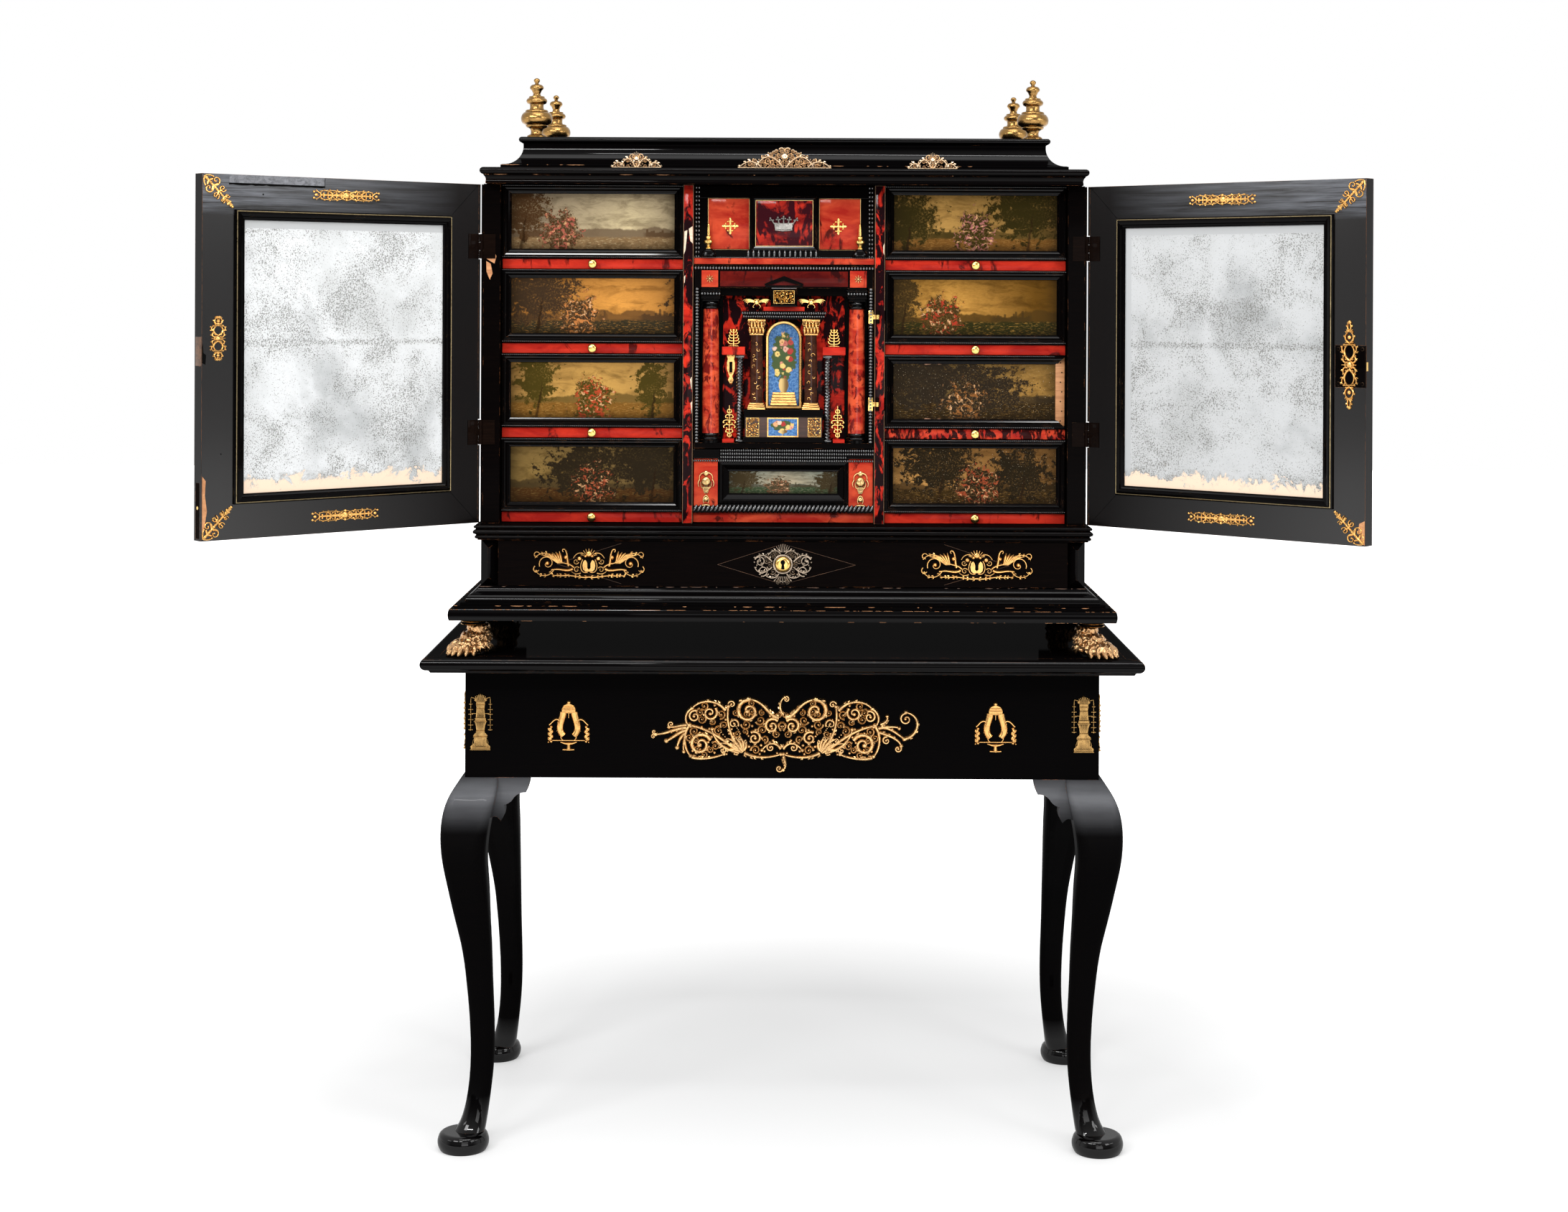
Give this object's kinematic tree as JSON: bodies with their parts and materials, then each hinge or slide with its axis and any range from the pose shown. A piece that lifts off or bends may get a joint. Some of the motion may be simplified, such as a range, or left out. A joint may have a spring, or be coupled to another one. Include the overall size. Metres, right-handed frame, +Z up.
{
  "type": "cabinet on stand",
  "caption": "Ebonised and red tortoiseshell collector's cabinet with mirrored doors, a portico among small drawers, paw feet and a stand on cabriole legs.",
  "frame": {"origin": "on the floor under the middle of the cabinet's box, doors open as stored", "axes": "+X to the right seen from the front, +Y from the front to the back, +Z up"},
  "size_m": [1.6248, 0.7337, 1.6],
  "materials": {
    "ebonised_wood": "polished black, worn at the edges",
    "tortoiseshell": "red tortoiseshell veneer, polished",
    "gilt_brass": "gilt, slightly dulled",
    "brass": "aged brass",
    "aged_mirror": "old silvering with spots",
    "carcase_wood": "plain oiled wood"
  },
  "bodies": {
    "stand_and_case": {"stand_top": "ebonised_wood", "frieze_rails": "ebonised_wood", "cabriole_legs": "ebonised_wood", "knee_brackets": "ebonised_wood", "stand_mounts": "gilt_brass", "paw_feet": "gilt_brass", "base_moulding": "ebonised_wood", "base_carcase": "ebonised_wood", "corner_blocks": "ebonised_wood", "waist_moulding": "ebonised_wood", "handle_posts": "brass", "case_sides": "ebonised_wood", "case_boards": "ebonised_wood", "partitions": "carcase_wood", "cornice": "ebonised_wood", "niche_lining": "carcase_wood", "case_hinges": "brass"},
    "door_left": {"door_left_leaf": "ebonised_wood", "door_left_mirror": "aged_mirror", "door_left_mouldings": "ebonised_wood", "door_left_brass": "brass"},
    "door_right": {"door_right_leaf": "ebonised_wood", "door_right_mirror": "aged_mirror", "door_right_mouldings": "ebonised_wood", "door_right_brass": "brass"},
    "flush_bolt": {"flush_bolt": "brass"},
    "lock_bolt": {"lock_bolt": "brass"},
    "lid": {"lid_shell": "ebonised_wood", "lid_brass": "brass", "lid_mounts": "gilt_brass"},
    "portico_door": {"portico_frame": "ebonised_wood", "portico_columns": "tortoiseshell", "portico_aedicule": "ebonised_wood", "portico_brass": "gilt_brass"},
    "handle_left": {"handle_left": "brass"},
    "handle_right": {"handle_right": "brass"},
    "long_drawer": {"long_drawer_front": "ebonised_wood", "long_drawer_box": "carcase_wood", "long_drawer_mounts": "gilt_brass"},
    "attic_drawer": {"attic_front": "ebonised_wood", "attic_box": "carcase_wood"},
    "plinth_drawer": {"plinth_front": "ebonised_wood", "plinth_box": "carcase_wood"},
    "drawer_left_1": {"drawer_left_1_front": "ebonised_wood", "drawer_left_1_box": "carcase_wood"},
    "drawer_left_2": {"drawer_left_2_front": "ebonised_wood", "drawer_left_2_box": "carcase_wood"},
    "drawer_left_3": {"drawer_left_3_front": "ebonised_wood", "drawer_left_3_box": "carcase_wood"},
    "drawer_left_4": {"drawer_left_4_front": "ebonised_wood", "drawer_left_4_box": "carcase_wood"},
    "drawer_right_1": {"drawer_right_1_front": "ebonised_wood", "drawer_right_1_box": "carcase_wood"},
    "drawer_right_2": {"drawer_right_2_front": "ebonised_wood", "drawer_right_2_box": "carcase_wood"},
    "drawer_right_3": {"drawer_right_3_front": "ebonised_wood", "drawer_right_3_box": "carcase_wood"},
    "drawer_right_4": {"drawer_right_4_front": "ebonised_wood", "drawer_right_4_box": "carcase_wood"}
  },
  "joints": [
    {"name": "door_left_hinge", "type": "hinge", "parent": "stand_and_case", "child": "door_left", "pos_m": [-0.4535, -0.0725, 0.926], "axis": [0, 0, -1], "range_deg": [-139.5, 35.5]},
    {"name": "door_right_hinge", "type": "hinge", "parent": "stand_and_case", "child": "door_right", "pos_m": [0.4535, -0.0725, 0.926], "axis": [0, 0, 1], "range_deg": [-139.5, 35.5]},
    {"name": "portico_hinge", "type": "hinge", "parent": "stand_and_case", "child": "portico_door", "pos_m": [0.1406, -0.06275, 1.038], "axis": [0, 0, 1], "range_deg": [0, 90]},
    {"name": "lid_hinge", "type": "hinge", "parent": "stand_and_case", "child": "lid", "pos_m": [0, 0.31785, 1.45815], "axis": [-1, 0, 0], "range_deg": [0, 95]},
    {"name": "handle_left_pivot", "type": "hinge", "parent": "stand_and_case", "child": "handle_left", "pos_m": [-0.464, 0.12125, 0.88], "axis": [0, 1, 0], "range_deg": [0, 95]},
    {"name": "handle_right_pivot", "type": "hinge", "parent": "stand_and_case", "child": "handle_right", "pos_m": [0.464, 0.12125, 0.88], "axis": [0, -1, 0], "range_deg": [0, 95]},
    {"name": "flush_bolt_slide", "type": "slide", "parent": "door_left", "child": "flush_bolt", "axis": [0, 0, -1], "range_m": [0, 0.009]},
    {"name": "lock_bolt_slide", "type": "slide", "parent": "door_right", "child": "lock_bolt", "axis": [0.7604, -0.6494, 0], "range_m": [0, 0.009]},
    {"name": "long_drawer_slide", "type": "slide", "parent": "stand_and_case", "child": "long_drawer", "axis": [0, -1, 0], "range_m": [0, 0.24]},
    {"name": "attic_drawer_slide", "type": "slide", "parent": "stand_and_case", "child": "attic_drawer", "axis": [0, -1, 0], "range_m": [0, 0.24]},
    {"name": "plinth_drawer_slide", "type": "slide", "parent": "stand_and_case", "child": "plinth_drawer", "axis": [0, -1, 0], "range_m": [0, 0.24]},
    {"name": "drawer_left_1_slide", "type": "slide", "parent": "stand_and_case", "child": "drawer_left_1", "axis": [0, -1, 0], "range_m": [0, 0.24]},
    {"name": "drawer_left_2_slide", "type": "slide", "parent": "stand_and_case", "child": "drawer_left_2", "axis": [0, -1, 0], "range_m": [0, 0.24]},
    {"name": "drawer_left_3_slide", "type": "slide", "parent": "stand_and_case", "child": "drawer_left_3", "axis": [0, -1, 0], "range_m": [0, 0.24]},
    {"name": "drawer_left_4_slide", "type": "slide", "parent": "stand_and_case", "child": "drawer_left_4", "axis": [0, -1, 0], "range_m": [0, 0.24]},
    {"name": "drawer_right_1_slide", "type": "slide", "parent": "stand_and_case", "child": "drawer_right_1", "axis": [0, -1, 0], "range_m": [0, 0.24]},
    {"name": "drawer_right_2_slide", "type": "slide", "parent": "stand_and_case", "child": "drawer_right_2", "axis": [0, -1, 0], "range_m": [0, 0.24]},
    {"name": "drawer_right_3_slide", "type": "slide", "parent": "stand_and_case", "child": "drawer_right_3", "axis": [0, -1, 0], "range_m": [0, 0.24]},
    {"name": "drawer_right_4_slide", "type": "slide", "parent": "stand_and_case", "child": "drawer_right_4", "axis": [0, -1, 0], "range_m": [0, 0.24]}
  ]
}
